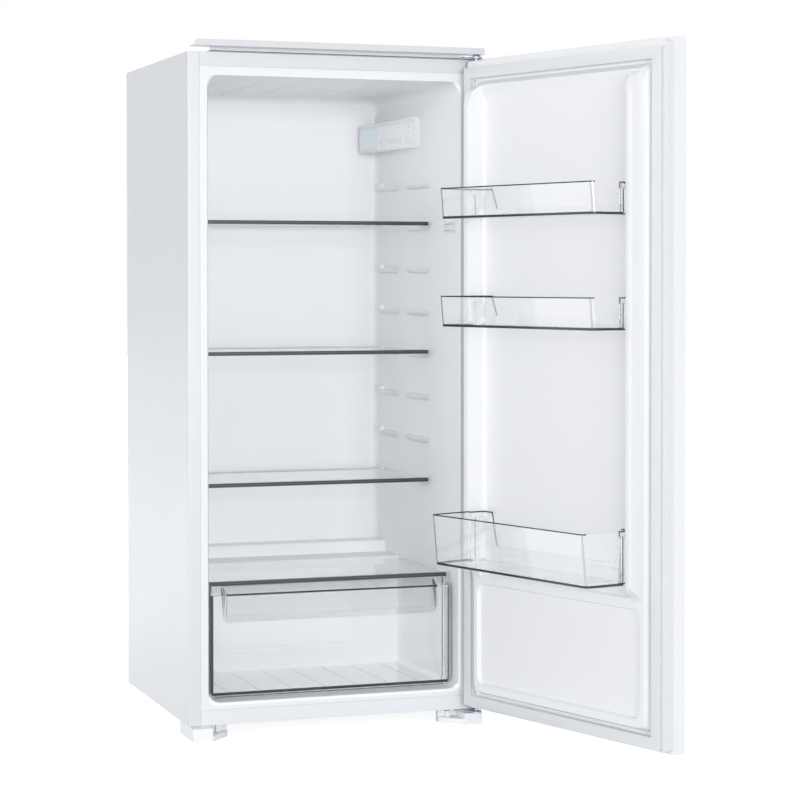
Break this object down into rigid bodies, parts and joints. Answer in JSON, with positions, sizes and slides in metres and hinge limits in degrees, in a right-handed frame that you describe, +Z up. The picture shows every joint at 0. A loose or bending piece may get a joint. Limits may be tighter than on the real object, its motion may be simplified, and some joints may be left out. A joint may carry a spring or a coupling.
{
  "type": "built-in refrigerator",
  "caption": "Built-in larder refrigerator with a hinged door, glass shelves, crisper drawer and door bins.",
  "frame": {"origin": "middle of the cabinet's lower front edge, at the underside of the cabinet body; the feet reach 24 mm below it", "axes": "+Z up, -Y out of the front, +X towards the hinge side"},
  "size_m": [0.7043, 1.0167, 1.218],
  "materials": {
    "painted_steel": "satin",
    "galvanised_steel": "satin",
    "zinced_hinge": "satin",
    "liner_plastic": "satin",
    "foam": "matte",
    "gasket": "matte",
    "white_plastic": "satin",
    "grey_plastic": "satin",
    "lens": "gloss",
    "glass": "gloss",
    "shelf_trim": "satin",
    "clear_plastic": "gloss",
    "black_steel": "satin",
    "copper": "satin",
    "aluminium": "satin",
    "dark_plastic": "matte",
    "board": "matte"
  },
  "bodies": {
    "cabinet": {"side_panel_left": "painted_steel", "side_panel_right": "painted_steel", "top_panel": "painted_steel", "base_panel": "painted_steel", "chamber_panel": "galvanised_steel", "back_panel": "painted_steel", "inner_liner": "liner_plastic", "foam_left": "foam", "foam_right": "foam", "foam_top": "foam", "foam_rear": "foam", "foam_step": "foam", "evaporator_plate": "aluminium", "control_housing": "white_plastic", "lamp_lens": "lens", "control_fascia": "grey_plastic", "lamp_board": "board", "switch_housing": "white_plastic", "hinge_bracket_top": "zinced_hinge", "hinge_bracket_bottom": "zinced_hinge", "cover_strip": "white_plastic", "front_foot_left": "white_plastic", "front_foot_right": "white_plastic", "rear_foot_left": "white_plastic", "rear_foot_right": "white_plastic", "compressor_base": "galvanised_steel", "compressor": "black_steel", "relay_cover": "dark_plastic", "evaporation_tray": "dark_plastic", "drain_spout": "white_plastic", "condenser": "black_steel", "discharge_pipe": "copper", "suction_pipe": "copper", "filter_drier": "copper"},
    "door": {"door_panel": "painted_steel", "door_liner": "liner_plastic", "door_foam": "foam", "door_gasket": "gasket", "hinge_bush_top": "white_plastic", "hinge_bush_bottom": "white_plastic"},
    "shelf_1": {"shelf_glass_1": "glass", "shelf_front_trim_1": "shelf_trim", "shelf_rear_trim_1": "clear_plastic"},
    "shelf_2": {"shelf_glass_2": "glass", "shelf_front_trim_2": "shelf_trim", "shelf_rear_trim_2": "clear_plastic"},
    "shelf_3": {"shelf_glass_3": "glass", "shelf_front_trim_3": "shelf_trim", "shelf_rear_trim_3": "clear_plastic"},
    "crisper_cover": {"crisper_cover_glass": "glass", "crisper_cover_trim": "shelf_trim"},
    "crisper_drawer": {"crisper_drawer": "clear_plastic"},
    "door_bin_upper": {"door_bin_upper": "clear_plastic"},
    "door_bin_middle": {"door_bin_middle": "clear_plastic"},
    "door_bin_lower": {"door_bin_lower": "clear_plastic"},
    "mode_button": {"mode_button": "grey_plastic"},
    "set_button": {"set_button": "grey_plastic"},
    "switch_rocker": {"switch_rocker": "white_plastic"}
  },
  "joints": [
    {"name": "door_swing", "type": "hinge", "parent": "cabinet", "child": "door", "pos_m": [0.2565, -0.0236, 0], "axis": [0, 0, 1], "range_deg": [-106.4, 8.6]},
    {"name": "shelf_1_slide", "type": "slide", "parent": "cabinet", "child": "shelf_1", "axis": [0, -1, 0], "range_m": [0, 0.18]},
    {"name": "shelf_2_slide", "type": "slide", "parent": "cabinet", "child": "shelf_2", "axis": [0, -1, 0], "range_m": [0, 0.18]},
    {"name": "shelf_3_slide", "type": "slide", "parent": "cabinet", "child": "shelf_3", "axis": [0, -1, 0], "range_m": [0, 0.18]},
    {"name": "crisper_cover_slide", "type": "slide", "parent": "cabinet", "child": "crisper_cover", "axis": [0, -1, 0], "range_m": [0, 0.13]},
    {"name": "crisper_drawer_slide", "type": "slide", "parent": "cabinet", "child": "crisper_drawer", "axis": [0, -1, 0], "range_m": [0, 0.25]},
    {"name": "door_bin_upper_lift", "type": "slide", "parent": "door", "child": "door_bin_upper", "axis": [0, 0, 1], "range_m": [0, 0.028]},
    {"name": "door_bin_middle_lift", "type": "slide", "parent": "door", "child": "door_bin_middle", "axis": [0, 0, 1], "range_m": [0, 0.028]},
    {"name": "door_bin_lower_lift", "type": "slide", "parent": "door", "child": "door_bin_lower", "axis": [0, 0, 1], "range_m": [0, 0.028]},
    {"name": "mode_button_press", "type": "slide", "parent": "cabinet", "child": "mode_button", "axis": [0.9905, 0.1378, 0], "range_m": [0, 0.001], "stiffness_N_per_m": 400},
    {"name": "set_button_press", "type": "slide", "parent": "cabinet", "child": "set_button", "axis": [0.9905, 0.1378, 0], "range_m": [0, 0.001], "stiffness_N_per_m": 400},
    {"name": "switch_rocker_press", "type": "hinge", "parent": "cabinet", "child": "switch_rocker", "pos_m": [0.2325, 0.0694, 0.8745], "axis": [0, 0, 1], "range_deg": [0, 5], "stiffness_Nm_per_rad": 0.05}
  ]
}
